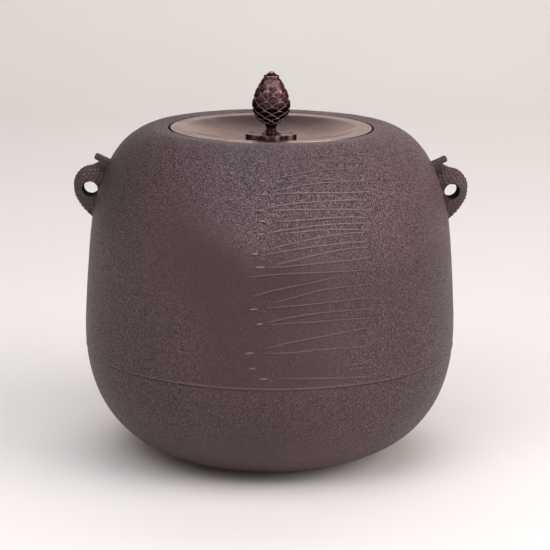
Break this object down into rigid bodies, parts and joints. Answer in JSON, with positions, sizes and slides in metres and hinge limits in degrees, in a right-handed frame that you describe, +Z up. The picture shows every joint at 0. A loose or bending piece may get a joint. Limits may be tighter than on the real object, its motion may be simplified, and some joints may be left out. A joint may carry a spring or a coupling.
{
  "type": "tea kettle",
  "caption": "Round iron tea kettle with a seam below the belly, pine-cone lugs bored for lifting rings, and a dished bronze lid with a pine-cone knob; holds and heats water.",
  "frame": {"origin": "centre of the flat base, on the surface that the kettle stands on", "axes": "+Z up along the kettle's axis, +X through the right lug, -Y towards the ornamented front"},
  "size_m": [0.262, 0.247, 0.2554],
  "materials": {
    "iron": "fine-grained, lacquer-baked, satin",
    "iron_bottom": "fine-grained, lacquer-baked, satin",
    "iron_lug": "cast scales, satin",
    "plate_iron": "rough plate",
    "lacquer": "baked iron-filled lacquer",
    "lid_bronze": "satin patinated bronze",
    "seat_bronze": "satin patinated bronze",
    "knob_bronze": "dark patinated bronze"
  },
  "bodies": {
    "kettle": {"kettle_body": "iron", "kettle_bottom": "iron_bottom", "seam_putty": "lacquer", "left_lug": "iron_lug", "right_lug": "iron_lug", "singing_plates": "plate_iron", "plate_dabs": "lacquer"},
    "washer": {"under_washer": "lid_bronze"},
    "lid": {"lid": "lid_bronze", "knob_seat": "seat_bronze"},
    "knob": {"knob": "knob_bronze"}
  },
  "joints": [
    {"name": "lid_lift", "type": "slide", "parent": "kettle", "child": "washer", "axis": [0, 0, 1], "range_m": [0, 0.12]},
    {"name": "lid_turn", "type": "hinge", "parent": "washer", "child": "lid", "pos_m": [0, 0, 0.2112], "axis": [0, 0, 1], "continuous": true},
    {"name": "knob_turn", "type": "hinge", "parent": "lid", "child": "knob", "pos_m": [0, 0, 0.2112], "axis": [0, 0, 1], "continuous": true}
  ]
}
